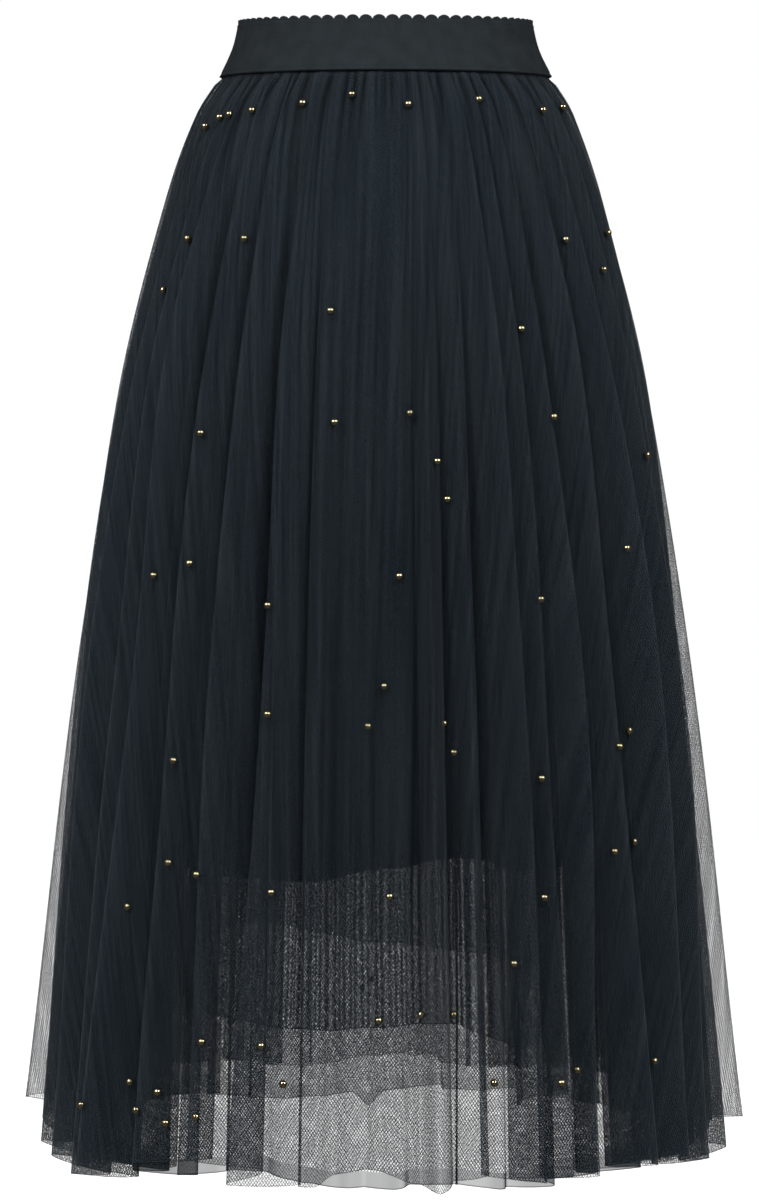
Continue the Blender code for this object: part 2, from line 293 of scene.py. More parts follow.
band_columns = SCALLOPS * SCALLOP_STEPS
band_height = BAND_SECTIONS[0].height - BAND_SECTIONS[-1].height
band = bmesh.new()
bmesh.ops.create_grid(band, x_segments=band_columns, y_segments=BAND_ROWS, size=1.0)
band_map = band.loops.layers.uv.new("cloth")
for face in band.faces:
    for corner in face.loops:
        column, row = grid_place(corner.vert, band_columns, BAND_ROWS)
        along, up = column / band_columns, 1.0 - row / BAND_ROWS
        corner[band_map].uv = (BAND_GIRTH * along, band_height * up)
pucker_chance = random.Random(3)
puckers = [pucker_chance.uniform(-1.0, 1.0) * PUCKER for _ in range(SCALLOPS)]
for vertex in band.verts:
    column, row = grid_place(vertex, band_columns, BAND_ROWS)
    down = band_height * max(row - BAND_TOP_ROWS, 0) / (BAND_ROWS - BAND_TOP_ROWS)
    up = band_height - down
    arch = math.sqrt(math.sin(math.pi * (column % SCALLOP_STEPS) / SCALLOP_STEPS))
    lift = SCALLOP_HEIGHT * arch * max(1.0 - row / BAND_TOP_ROWS, 0.0)
    half_breadth, half_depth = read_smoothly(BAND_SECTIONS, BAND_SECTIONS[0].height - down)
    degrees = 360.0 * column / band_columns
    point, out, _ = on_ellipse(degrees, half_breadth, half_depth)
    cord = CORD_OUT * math.exp(-(((down - CORD_DOWN) / CORD_DOWN) ** 2) * CORD_SHARP)
    groove = -STITCH_IN * math.exp(-(((up - STITCHES_UP) / STITCHES_UP) ** 2) * STITCH_SHARP)
    turn = column / SCALLOP_STEPS
    first, second = int(turn) % SCALLOPS, (int(turn) + 1) % SCALLOPS
    ease = (1.0 - math.cos(math.pi * (turn % 1.0))) / 2.0
    pucker = puckers[first] * (1.0 - ease) + puckers[second] * ease
    pucker *= max(1.0 - up / PUCKERS_REACH, 0.0)
    point += out * (cord + groove + pucker)
    point.z = BAND_SECTIONS[0].height - down + lift + dip(degrees)
    vertex.co = point
bmesh.ops.remove_doubles(band, verts=band.verts, dist=0.00001)
waistband = new_piece("elastic_waistband", band, elastic)
wall = waistband.modifiers.new("wall", "SOLIDIFY")
wall.thickness = BAND_WALL
wall.offset = 0.0
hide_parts("waistband")

# --- The outer tulle --------------------------------------------------------------------------
# The outermost layer, a fine net with raw cut edges, gathered into the band and falling in
# long folds that lap over themselves. The folds are few and flat in the middle of the front and
# of the back, and bunched at the sides.

SEAM_GAP = 0.00002  # closed to the eye, so that no light line shows from the side
BACK_UNEVENNESS = 0.12
BACK_SHIFT = 1.2  # degrees
BACK_CHANCE = random.Random(11)

# The oval that the folds stand on at a height, and the shares that the folds and the tilt of the
# waist have there.
Section = namedtuple("Section", "height half_breadth half_depth fold dip")
OUTER_SECTIONS = (
    Section(-0.0130, 0.1205, 0.0935, 0.00, 1.00),
    Section(-0.0180, 0.1240, 0.0972, 0.00, 1.00),
    Section(-0.0450, 0.1412, 0.1125, 0.12, 0.95),
    Section(-0.1100, 0.1640, 0.1335, 0.20, 0.60),
    Section(-0.2600, 0.1960, 0.1660, 0.45, 0.15),
    Section(-0.4800, 0.2190, 0.1980, 0.75, 0.00),
    Section(-0.8080, 0.2395, 0.2380, 1.00, 0.00),
)
# One ridge: its degrees to the right from the middle of the front, how far it stands out, and how
# far it leans over to the right. A late one, above 1, grows mostly near the hem.
Fold = namedtuple("Fold", "at depth lean late", defaults=(1.0,))
OUTER_FOLDS = (
    Fold(-90.0, 0.036, 0.000, 2.4),
    Fold(-80.0, 0.018, -0.014),
    Fold(-72.5, 0.024, -0.020),
    Fold(-64.0, 0.024, -0.024),
    Fold(-56.0, 0.018, -0.018),
    Fold(-48.5, 0.024, -0.024),
    Fold(-37.5, 0.022, -0.018),
    Fold(-29.5, 0.020, -0.012),
    Fold(-19.5, 0.022, -0.018),
    Fold(-12.0, 0.012, 0.004),
    Fold(-4.0, 0.010, 0.003),
    Fold(2.4, 0.006, 0.000),
    Fold(8.4, 0.024, -0.002),
    Fold(14.4, 0.014, 0.005),
    Fold(21.5, 0.020, 0.015),
    Fold(26.5, 0.018, 0.012),
    Fold(32.0, 0.022, 0.015),
    Fold(41.0, 0.024, 0.018),
    Fold(51.0, 0.024, 0.024),
    Fold(62.0, 0.022, 0.022),
    Fold(71.0, 0.018, 0.016),
    Fold(80.5, 0.006, 0.002),
    Fold(90.0, 0.034, 0.000, 2.4),
)
Hang = namedtuple("Hang", "at height")  # how low the hem hangs at an angle
OUTER_HEM = (
    Hang(-180, -0.808),
    Hang(-105, -0.800),
    Hang(-90, -0.797),
    Hang(-74, -0.820),
    Hang(-58, -0.825),
    Hang(-45, -0.809),
    Hang(-40, -0.814),
    Hang(-30, -0.801),
    Hang(-17, -0.811),
    Hang(-3, -0.807),
    Hang(7, -0.814),
    Hang(17, -0.806),
    Hang(29, -0.816),
    Hang(40, -0.808),
    Hang(63, -0.822),
    Hang(88, -0.812),
    Hang(120, -0.806),
    Hang(180, -0.808),
)


def mixed(first, second, share):
    """The value that lies this share of the way from first to second."""
    return first + (second - first) * share


def hem_height(hem, degrees):
    """The height of a hem line at an angle, eased from one row of its table to the next."""
    degrees = (degrees + 180.0) % 360.0 - 180.0
    for first, second in zip(hem, hem[1:]):
        if degrees <= second.at:
            share = (degrees - first.at) / (second.at - first.at)
            return mixed(first.height, second.height, share * share * (3.0 - 2.0 * share))
    return hem[-1].height


def back_folds(front):
    """A back panel's folds: the front's in a mirror, made uneven, ending at the same seams."""
    inner = [
        Fold(
            180.0 - fold.at + BACK_CHANCE.uniform(-1.0, 1.0) * BACK_SHIFT,
            fold.depth * (1.0 - BACK_CHANCE.random() * BACK_UNEVENNESS),
            -fold.lean * (1.0 - BACK_CHANCE.random() * BACK_UNEVENNESS),
            fold.late,
        )
        for fold in reversed(front[1:-1])
    ]
    right_seam, left_seam = front[-1], front[0]
    return (right_seam, *inner, left_seam._replace(at=270.0))


Tuck = namedtuple("Tuck", "out crease reach")
TUCK_WIDTHS = (0.4, 1.7)  # the narrowest and the widest, as shares of the usual one
TUCK_DEPTHS = (0.2, 1.6)
TUCK_REACHES = (0.3, 1.9)


def tucks(columns, width, depth, reach, chance):
    """Small folds side by side, each about this many columns wide and of its own depth and length.

    A tuck stands out at its middle and not at its creased edges, and fades away at its reach
    below the band.
    """
    made = []
    while len(made) <= columns:
        own_width = max(3, round(width * chance.uniform(*TUCK_WIDTHS)))
        own_depth = depth * chance.uniform(*TUCK_DEPTHS)
        own_reach = reach * chance.uniform(*TUCK_REACHES)
        for step in range(own_width):
            swing = math.cos(2.0 * math.pi * step / own_width)
            out = own_depth * (1.0 - swing) / 2.0
            made.append(Tuck(out, ((1.0 + swing) / 2.0) ** 3, own_reach))
    return made


# Small gathers that the folds don't show make the cloth denser, most of all towards the sides.
# Each row gives the extra cloth, as a share, in the upper part and at the hem, by degrees from the
# middle of the front.
Bunch = namedtuple("Bunch", "at upper hem")
BUNCHING = (
    Bunch(-90.0, 0.05, 0.10),
    Bunch(-78.0, 0.55, 0.90),
    Bunch(-62.0, 1.00, 2.40),
    Bunch(-50.0, 0.80, 1.50),
    Bunch(-41.0, 0.60, 0.50),
    Bunch(-25.0, 0.40, 0.60),
    Bunch(0.0, 0.35, 0.55),
    Bunch(22.0, 0.35, 0.50),
    Bunch(41.0, 0.60, 0.60),
    Bunch(50.0, 0.75, 1.50),
    Bunch(62.0, 0.90, 2.20),
    Bunch(78.0, 0.95, 1.20),
    Bunch(90.0, 0.35, 0.15),
)
BACK_BUNCHING = 0.12  # the back's share of this
SEAM_PLIES = 1.3  # the turned edges of a side seam are this much denser
HEM_UNEVEN = 0.006  # how much higher or lower a ridge ends than the hem line

# steps is how many columns a fold has, wander how many degrees its ridge strays, gathering how
# much wider the cloth is cut at the top than it is gathered to, crease how much denser a tuck's
# crease is, and bunched the share of BUNCHING that the layer has.
Layer = namedtuple("Layer", "sections hem steps rows wander gathering crease bunched")
BAND_EDGE = BAND_SECTIONS[-1].height
TUCKS_START = 0.005  # the length below the band in which a tuck opens to its full depth
ROW_SPREAD = 1.3  # above 1, the rows lie closer together at the top
RIDGE_ROUND = 0.6  # below 1, the ridges are broader than the valleys
SWELL = 0.22  # the share of its depth by which a ridge swells and shrinks on its way down
SWELL_TURN = 8.0  # radians of that wave from the top to the hem
RIPPLE = 0.15  # a shorter wave, which dies away towards the hem
RIPPLE_TURN = 13.0

# These set the painted shade in a fold's valleys and the painted highlight on its ridges.
# Widths and shifts are shares of the way from one ridge to the next.
VALLEY_DEEP = 0.018  # a valley this deep is in full painted shade
VALLEY_WIDTH = 0.05
VALLEY_WIDER = 0.03  # where the folds lean right over, it is this much wider
VALLEY_SHIFT = 0.09  # and lies this far aside
VALLEY_CORE = 0.64  # the part of its width in full painted shade
VALLEY_FADE = 0.8  # the part in which the painted shade ends
UPRIGHT_SHADE = 0.35  # the painted shade's strength where a fold doesn't lean
SHADE_GROWS = 1.6  # how soon below the band the painted shade is full
EDGE_LIGHT = 0.55  # how much lighter than the cloth a fold's ridge is painted, a painted highlight
EDGE_REACH = 0.07


def within_one(value):
    """The value, or the nearer of 0 and 1 where it is beyond them."""
    return min(max(value, 0.0), 1.0)


def valley_shade(depth, lean, share):
    """Painted shade between two ridges: 1 in a deep valley, below 0 for a painted ridge highlight.
    """
    deep = depth / VALLEY_DEEP
    leaning = max(min(lean / VALLEY_DEEP, 1.0), -1.0)
    width = VALLEY_WIDTH + VALLEY_WIDER * abs(leaning)
    beside = abs(share - 0.5 - VALLEY_SHIFT * leaning) / width
    shade = min(deep * deep, 1.0) * (1.0 - within_one((beside - VALLEY_CORE) / VALLEY_FADE))
    shade *= min(UPRIGHT_SHADE + abs(leaning), 1.0)
    on_ridge = max(1.0 - min(share, 1.0 - share) / EDGE_REACH, 0.0)
    return shade - EDGE_LIGHT * min(deep, 1.0) * on_ridge


def between(rows, place):
    """The values of a table part of the way from one of its rows to the next."""
    low = min(int(place), len(rows) - 2)
    return [mixed(first, second, place - low) for first, second in zip(rows[low], rows[low + 1])]


def lay_panel(name, finish, layer, folds, small, chance):
    """One panel of a gathered layer, as an open sheet, with its flat size and its flat area.

    Its columns follow the folds, layer.steps of them to each, and its rows run down from inside
    the band to the hem. Each ridge strays sideways and changes its depth a little on its way.
    The cloth is cut narrower at the top, layer.gathering times the width that it is gathered to.
    The cloth map is in metres, along the cloth and up from the hem. Of the two values that the
    materials read, crowding is how many plies lie there for each that the sheet shows, and the
    other
    is painted shading: painted shade, 1 where the cloth is pinched in or deep in a valley, and a
    painted highlight, below 0, on a ridge.
    """
    last = (len(folds) - 1) * layer.steps
    top, low = layer.sections[0].height, layer.sections[-1].height
    levels = []
    for row in range(layer.rows + 1):
        down = (row / layer.rows) ** ROW_SPREAD
        height = mixed(top, low, down)
        section = Section(height, *read_smoothly(layer.sections, height))
        bow, wave = math.sin(math.pi * down), math.sin(SWELL_TURN * down)
        levels.append((down, section, bow, wave, math.cos(RIPPLE_TURN * down) * (1.0 - down)))
    strays = [(0.0, 0.0, 0.0)]
    strays += [[chance.uniform(-1.0, 1.0) for _ in range(3)] for _ in folds[1:-1]]
    strays += [(0.0, 0.0, 0.0)]
    places = [[] for _ in levels]
    painted_shading_rows = [[] for _ in levels]
    lengths, fronts = [], []
    for column in range(last + 1):
        ridge = column / layer.steps
        before = min(int(ridge), len(folds) - 2)
        fold = Fold(*between(folds, ridge))
        stray, swell, shrink = between(strays, ridge)
        swing = math.cos(2.0 * math.pi * ridge)
        stand = ((1.0 + swing) / 2.0) ** RIDGE_ROUND
        shallower = min(folds[before].depth, folds[before + 1].depth)
        shade = valley_shade(shallower, fold.lean, ridge - before)
        inset = (SEAM_GAP / 2 if column == 0 else 0.0) - (SEAM_GAP / 2 if column == last else 0.0)
        hem = hem_height(layer.hem, fold.at) + HEM_UNEVEN * layer.bunched * shrink
        lengths.append(top - hem)
        fronts.append(fold.at if fold.at <= 90.0 else 180.0 - fold.at)
        for line, painted_shading_row, (down, section, bow, wave, ripple) in zip(places, painted_shading_rows, levels):
            degrees = fold.at + stray * bow * layer.wander
            size = 1.0 + SWELL * swell * wave + RIPPLE * shrink * ripple
            grown = size * max(section.fold, 0.0) ** fold.late
            point, out, along = on_ellipse(degrees, section.half_breadth, section.half_depth)
            height = mixed(top, hem, down)
            # painted shade in the valleys and painted highlight on the ridges, full once the fold
            # has grown
            valley = shade * min(grown * SHADE_GROWS, 1.0)
            below = max(BAND_EDGE - height, 0.0)
            opened = min(below / TUCKS_START, 1.0) * max(1.0 - below / small[column].reach, 0.0)
            point += out * (fold.depth * stand * grown + small[column].out * opened)
            point += along * (fold.lean * swing * section.fold * size + inset)
            point.z = height + dip(degrees) * section.dip
            line.append(point)
            # painted shade in a tuck's crease just below the band, giving way further down to the
            # valleys' painted shade and the ridges' painted highlight
            painted_shading_row.append(small[column].crease * opened + valley * (1.0 - opened))
    girths = [sum((b - a).length for a, b in zip(line, line[1:])) for line in places]
    top_cut, hem_cut = girths[0] * layer.gathering, girths[-1]
    bunched = layer.bunched * (BACK_BUNCHING if folds[-1].at > 90.0 else 1.0)
    extra = [[bunched * share for share in read_smoothly(BUNCHING, at)] for at in fronts]
    along_hem = [0.0]
    for before, after in zip(places[-1], places[-1][1:]):
        along_hem.append(along_hem[-1] + (after - before).length)

    shape = bmesh.new()
    bmesh.ops.create_grid(shape, x_segments=last, y_segments=layer.rows, size=1.0)
    cloth_map = shape.loops.layers.uv.new("cloth")
    crowding = shape.verts.layers.float.new("crowding")
    # painted shade and painted highlight, which darken and lighten the net's colour
    painted_shading = shape.verts.layers.float.new("painted_shading")
    for face in shape.faces:
        for corner in face.loops:
            column, row = grid_place(corner.vert, last, layer.rows)
            down = levels[row][0]
            across = (along_hem[column] / hem_cut - 0.5) * mixed(top_cut, hem_cut, down)
            corner[cloth_map].uv = (across, (1.0 - down) * lengths[column])
    for vertex in shape.verts:
        column, row = grid_place(vertex, last, layer.rows)
        down = levels[row][0]
        plies = max(mixed(top_cut, hem_cut, down) / girths[row], 1.0)
        plies *= 1.0 + max(mixed(*extra[column], down**3), 0.0)
        plies *= SEAM_PLIES if layer.bunched and column in (0, 1, last - 1, last) else 1.0
        vertex[crowding] = plies * (1.0 + layer.crease * small[column].crease)
        vertex[painted_shading] = painted_shading_rows[row][column]
        vertex.co = places[row][column]
    length = max(lengths)
    return new_piece(name, shape, finish), (hem_cut, length), (top_cut + hem_cut) / 2.0 * length


# The net itself: two sets of slanting threads that cross in tall diamonds.
NET_PITCH = 0.0028
THREAD_STEEP = 1.4  # how far a thread climbs for each metre along the cloth
THREAD_CORE = 0.05  # half the full thickness of a thread, as a share of the pitch
THREAD_RIM = 0.16  # and half its thickness with its fading rim

net = bpy.data.node_groups.new("net threads", "ShaderNodeTree")
net.interface.new_socket("Along", in_out="INPUT", socket_type="NodeSocketFloat")
net.interface.new_socket("Up", in_out="INPUT", socket_type="NodeSocketFloat")
net.interface.new_socket("Pitch", in_out="INPUT", socket_type="NodeSocketFloat")
net.interface.new_socket("Thread", in_out="OUTPUT", socket_type="NodeSocketFloat")
group_in = add_node(net, "NodeGroupInput")
group_out = add_node(net, "NodeGroupOutput")
climb = arithmetic(net, "MULTIPLY", group_in.outputs["Along"], THREAD_STEEP)
beside_thread = []
for direction in ("ADD", "SUBTRACT"):
    slant = arithmetic(net, direction, group_in.outputs["Up"], climb)
    turn = arithmetic(net, "DIVIDE", slant, group_in.outputs["Pitch"])
    beside_thread.append(arithmetic(net, "PINGPONG", turn, 0.5))
nearest = arithmetic(net, "MINIMUM", *beside_thread)
edge = add_node(net, "ShaderNodeMapRange", interpolation_type="SMOOTHSTEP")
edge.inputs["From Min"].default_value = THREAD_CORE
edge.inputs["From Max"].default_value = THREAD_RIM
edge.inputs["To Min"].default_value = 1.0
edge.inputs["To Max"].default_value = 0.0
net.links.new(nearest, edge.inputs["Value"])
net.links.new(edge.outputs[0], group_out.inputs["Thread"])

NET_DEEP = (0.0058, 0.0098, 0.0146)
NET_PALE = (0.0262, 0.0338, 0.0394)
THREAD_CLEAR = 0.22  # how much light passes the threads
HOLE_CLEAR = 0.86  # and how much the holes
GRAIN_SCALE = 750.0  # the net's unevenness, finer than its threads
GRAIN = 0.9
STREAKS_SCALE = (300.0, 6.0, 1.0)  # long upright streaks
STREAKS = 0.6
NET_LIGHTER = 0.2  # above 0, more of the net is pale than deep
EDGE_WIDTH = 0.0009  # the cut edge of the hem rolls up this much
EDGE_CROWDING = 1.3
STRIP_CLEAR = 0.56  # how much light passes the pressed strip at the hem
PAINTED_SHADING_STRENGTH = 0.78  # how much the painted shade darkens the net where it is pinched in and in its valleys, and the painted highlight lightens its ridges
LEAST_SLANT = 0.14  # a ply seen edge-on counts as one over this many


def kept_between(tree, value, low, high):
    """The value, or the nearer of low and high where it is beyond them."""
    return arithmetic(tree, "MINIMUM", arithmetic(tree, "MAXIMUM", value, low), high)


def seen_through(tree, clear, plies):
    """What shows through so many plies of a cloth, and less of it where they turn edge-on."""
    facing = add_node(tree, "ShaderNodeLayerWeight")
    facing.inputs["Blend"].default_value = 0.5
    squarely = arithmetic(tree, "SUBTRACT", 1.0, facing.outputs["Facing"])
    squarely = arithmetic(tree, "MAXIMUM", squarely, LEAST_SLANT)
    return arithmetic(tree, "POWER", clear, arithmetic(tree, "DIVIDE", plies, squarely))


def net_material(name, pitch, strip):
    """Fine net: open between its threads, and denser where it is gathered.

    Its lowest strip, this many metres high, is pressed and shows no threads.
    """
    made, tree, surface = plain_material(name, NET_DEEP, roughness=0.75, specular=0.04)
    surface.inputs["Sheen Weight"].default_value = 0.035
    surface.inputs["Sheen Roughness"].default_value = 0.4
    cloth_map, along, up = cloth_place(tree)
    threads = add_node(tree, "ShaderNodeGroup", node_tree=net)
    threads.inputs["Pitch"].default_value = pitch
    tree.links.new(along, threads.inputs["Along"])
    tree.links.new(up, threads.inputs["Up"])
    grain = clouds(tree, cloth_map, GRAIN_SCALE)

    holes = arithmetic(tree, "MULTIPLY_ADD", grain, GRAIN, HOLE_CLEAR - GRAIN / 2)
    thread = threads.outputs["Thread"]
    clear = arithmetic(tree, "MULTIPLY_ADD", thread, THREAD_CLEAR - HOLE_CLEAR, holes)
    clear = kept_between(tree, clear, low=0.04, high=0.97)
    in_strip = arithmetic(tree, "LESS_THAN", up, strip)
    smoother = arithmetic(tree, "SUBTRACT", STRIP_CLEAR, clear)
    clear = arithmetic(tree, "MULTIPLY_ADD", in_strip, smoother, clear)
    crowding = add_node(tree, "ShaderNodeAttribute", attribute_name="crowding")
    at_edge = arithmetic(tree, "LESS_THAN", up, EDGE_WIDTH)
    plies = arithmetic(tree, "MULTIPLY_ADD", at_edge, EDGE_CROWDING, crowding.outputs["Fac"])
    through = seen_through(tree, clear, plies)
    tree.links.new(arithmetic(tree, "SUBTRACT", 1.0, through), surface.inputs["Alpha"])

    stretched = add_node(tree, "ShaderNodeMapping")
    stretched.inputs["Scale"].default_value = STREAKS_SCALE
    tree.links.new(cloth_map, stretched.inputs["Vector"])
    streaks = clouds(tree, stretched.outputs[0], 1.0, detail=4.0)
    pale = arithmetic(tree, "MULTIPLY_ADD", grain, GRAIN, NET_LIGHTER - GRAIN / 2)
    pale = arithmetic(tree, "MULTIPLY_ADD", streaks, STREAKS, pale)
    # Painted shade and painted highlight: the net's colour is darker where it is pinched in and in
    # its valleys, and lighter on its ridges.
    painted_shading = add_node(tree, "ShaderNodeAttribute", attribute_name="painted_shading")
    lit = arithmetic(tree, "MULTIPLY_ADD", painted_shading.outputs["Fac"], -PAINTED_SHADING_STRENGTH, 1.0)
    tint = two_tones(tree, pale, low=0.35, high=0.65, deep=NET_DEEP, pale=NET_PALE)
    shaded = add_node(tree, "ShaderNodeVectorMath", operation="SCALE")
    tree.links.new(tint, shaded.inputs[0])
    tree.links.new(lit, shaded.inputs["Scale"])
    tree.links.new(shaded.outputs["Vector"], surface.inputs["Base Color"])
    return made


outer_layer = Layer(
    OUTER_SECTIONS, OUTER_HEM,
    steps=22, rows=84, wander=0.9, gathering=2.2, crease=0.25, bunched=1.0
)
outer_net = net_material("outer net", pitch=NET_PITCH, strip=0.0)
outer_pieces = {}
chance = random.Random(21)
for side, folds in (("front", OUTER_FOLDS), ("back", back_folds(OUTER_FOLDS))):
    columns = len(folds) * outer_layer.steps
    gathers = tucks(columns, width=12, depth=0.0028, reach=0.075, chance=chance)
    name = f"outer_tulle_{side}_net"
    piece, flat, area = lay_panel(name, outer_net, outer_layer, folds, gathers, chance)
    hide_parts(f"outer_tulle_{side}")
    outer_pieces[side] = piece

# --- The under tulle --------------------------------------------------------------------------
# A second layer, of a slightly coarser net, sewn in behind the first and a little longer. Its
# hem shows below the outer one, and the lowest strip of it is pressed flat.

UNDER_SECTIONS = (
    Section(-0.0130, 0.1190, 0.0920, 0.00, 1.00),
    Section(-0.0450, 0.1372, 0.1080, 0.12, 0.95),
    Section(-0.1100, 0.1585, 0.1275, 0.20, 0.60),
    Section(-0.2600, 0.1862, 0.1560, 0.45, 0.15),
    Section(-0.4800, 0.2042, 0.1830, 0.75, 0.00),
    Section(-0.8200, 0.2205, 0.2190, 1.00, 0.00),
)
UNDER_FOLDS = (
    Fold(-90.0, 0.016, 0.000),
    Fold(-80.0, 0.016, -0.014),
    Fold(-71.0, 0.017, -0.019),
    Fold(-62.0, 0.016, -0.019),
    Fold(-53.0, 0.017, -0.019),
    Fold(-44.5, 0.016, -0.017),
    Fold(-36.0, 0.014, -0.010),
    Fold(-27.0, 0.012, -0.004),
    Fold(-17.0, 0.010, 0.003),
    Fold(-8.0, 0.008, 0.002),
    Fold(1.0, 0.008, 0.002),
    Fold(10.0, 0.010, 0.008),
    Fold(19.0, 0.010, 0.003),
    Fold(28.0, 0.012, 0.006),
    Fold(36.5, 0.015, 0.012),
    Fold(45.0, 0.016, 0.017),
    Fold(54.0, 0.017, 0.019),
    Fold(63.0, 0.016, 0.019),
    Fold(72.0, 0.017, 0.019),
    Fold(81.0, 0.016, 0.014),
    Fold(90.0, 0.016, 0.000),
)
UNDER_HEM = (
    Hang(-180, -0.833),
    Hang(-177, -0.843),
    Hang(-172, -0.831),
    Hang(-120, -0.824),
    Hang(-90, -0.812),
    Hang(-53, -0.822),
    Hang(-28, -0.814),
    Hang(-11, -0.823),
    Hang(10, -0.819),
    Hang(28, -0.823),
    Hang(54, -0.818),
    Hang(90, -0.820),
    Hang(120, -0.826),
    Hang(144, -0.828),
    Hang(149, -0.843),
    Hang(154, -0.830),
    Hang(180, -0.833),
)
under_layer = Layer(
    UNDER_SECTIONS, UNDER_HEM,
    steps=18, rows=70, wander=1.4, gathering=2.2, crease=0.25, bunched=1.0
)
UNDER_PITCH = NET_PITCH * 1.15
UNDER_STRIP = 0.011
under_net = net_material("under net", pitch=UNDER_PITCH, strip=UNDER_STRIP)
for side, folds in (("front", UNDER_FOLDS), ("back", back_folds(UNDER_FOLDS))):
    columns = len(folds) * under_layer.steps
    gathers = tucks(columns, width=13, depth=0.0015, reach=0.06, chance=chance)
    name = f"under_tulle_{side}_net"
    piece, flat, area = lay_panel(name, under_net, under_layer, folds, gathers, chance)
    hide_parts(f"under_tulle_{side}")

# --- The voile --------------------------------------------------------------------------------
# A semi-sheer layer crinkled into fine upright pleats, shorter than the nets. Its hem is a tiny
# overlocked edge that zigzags with the crinkles.

VOILE_SECTIONS = (
    Section(-0.0130, 0.1175, 0.0905, 0.00, 1.00),
    Section(-0.0450, 0.1335, 0.1040, 0.12, 0.95),
    Section(-0.1100, 0.1530, 0.1220, 0.20, 0.60),
    Section(-0.2600, 0.1765, 0.1450, 0.45, 0.15),
    Section(-0.7150, 0.2020, 0.1840, 1.00, 0.00),
)
VOILE_FOLDS = (
    Fold(-90.0, 0.008, 0.000),
    Fold(-79.0, 0.010, 0.002),
    Fold(-67.0, 0.008, 0.003),
    Fold(-56.0, 0.010, 0.002),
    Fold(-46.0, 0.008, 0.003),
    Fold(-34.0, 0.008, 0.002),
    Fold(-22.0, 0.006, 0.001),
    Fold(-11.0, 0.008, 0.002),
    Fold(1.0, 0.006, 0.001),
    Fold(11.0, 0.008, 0.002),
    Fold(23.0, 0.008, 0.003),
    Fold(34.0, 0.010, 0.002),
    Fold(44.0, 0.008, 0.002),
    Fold(56.0, 0.010, 0.003),
    Fold(67.0, 0.008, 0.002),
    Fold(78.0, 0.010, 0.002),
    Fold(90.0, 0.008, 0.000),
)
VOILE_HEM = (
    Hang(-180, -0.702),
    Hang(-147, -0.682),
    Hang(-124, -0.708),
    Hang(-90, -0.712),
    Hang(-46, -0.709),
    Hang(-16, -0.718),
    Hang(12, -0.713),
    Hang(28, -0.733),
    Hang(46, -0.745),
    Hang(90, -0.748),
    Hang(136, -0.738),
    Hang(158, -0.709),
    Hang(180, -0.702),
)
CRINKLE_STEPS = 8  # columns to a crinkle, on average
CRINKLE_DEPTH = 0.0018
ENDLESS = 9.0  # metres, so that the crinkles never fade away
VOILE_COLOUR = (0.012, 0.016, 0.021)
VOILE_CLEAR = 0.68
VOILE_GRAIN_SCALE = 520.0
VOILE_GRAIN = 1.6
ROLLED_HEM = 0.0007

voile_cloth, tree, surface = plain_material("crinkled voile", VOILE_COLOUR, 0.7, specular=0.06)
cloth_map, _, up = cloth_place(tree)
grain = clouds(tree, cloth_map, VOILE_GRAIN_SCALE)
clear = arithmetic(tree, "MULTIPLY_ADD", grain, VOILE_GRAIN, VOILE_CLEAR - VOILE_GRAIN / 2)
clear = kept_between(tree, clear, low=0.05, high=0.95)
crowding = add_node(tree, "ShaderNodeAttribute", attribute_name="crowding")
through = seen_through(tree, clear, crowding.outputs["Fac"])
above_hem = arithmetic(tree, "GREATER_THAN", up, ROLLED_HEM)
through = arithmetic(tree, "MULTIPLY", through, above_hem)
tree.links.new(arithmetic(tree, "SUBTRACT", 1.0, through), surface.inputs["Alpha"])

voile_layer = Layer(
    VOILE_SECTIONS, VOILE_HEM,
    steps=64, rows=50, wander=1.0, gathering=1.8, crease=4.5, bunched=0.0
)
for side, folds in (("front", VOILE_FOLDS), ("back", back_folds(VOILE_FOLDS))):
    columns = len(folds) * voile_layer.steps
    crinkles = tucks(columns, CRINKLE_STEPS, CRINKLE_DEPTH, ENDLESS, chance)
    name = f"voile_{side}_crinkled"
    piece, flat, area = lay_panel(name, voile_cloth, voile_layer, folds, crinkles, chance)
    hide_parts(f"voile_{side}")

# --- The lining -------------------------------------------------------------------------------
# A slim opaque slip of smooth woven cloth, the shortest layer, eased into the band with hardly
# any gathers and hanging almost straight.

LINING_SECTIONS = (
    Section(-0.0130, 0.1160, 0.0890, 0.00, 1.00),
    Section(-0.0450, 0.1290, 0.0990, 0.12, 0.95),
    Section(-0.1100, 0.1450, 0.1150, 0.20, 0.60),
    Section(-0.2600, 0.1570, 0.1310, 0.45, 0.15),
    Section(-0.6110, 0.1510, 0.1390, 1.00, 0.00),
)
LINING_FOLDS = (
    Fold(-90.0, 0.006, 0.000),
    Fold(-68.0, 0.010, 0.002),
    Fold(-46.0, 0.008, 0.002),
    Fold(-21.0, 0.010, 0.001),
    Fold(2.0, 0.006, 0.001),
    Fold(24.0, 0.010, 0.002),
    Fold(45.0, 0.008, 0.002),
    Fold(69.0, 0.010, 0.002),
    Fold(90.0, 0.006, 0.000),
)
LINING_HEM = (
    Hang(-180, -0.606),
    Hang(-90, -0.607),
    Hang(-55, -0.619),
    Hang(-20, -0.619),
    Hang(0, -0.609),
    Hang(20, -0.602),
    Hang(42, -0.614),
    Hang(90, -0.612),
    Hang(180, -0.606),
)
LINING_COLOUR = (0.0045, 0.0065, 0.0100)
lining_cloth, _, _ = plain_material("lining", LINING_COLOUR, roughness=0.6, specular=0.05)
lining_layer = Layer(
    LINING_SECTIONS, LINING_HEM,
    steps=18, rows=40, wander=1.0, gathering=1.15, crease=0.0, bunched=0.0
)
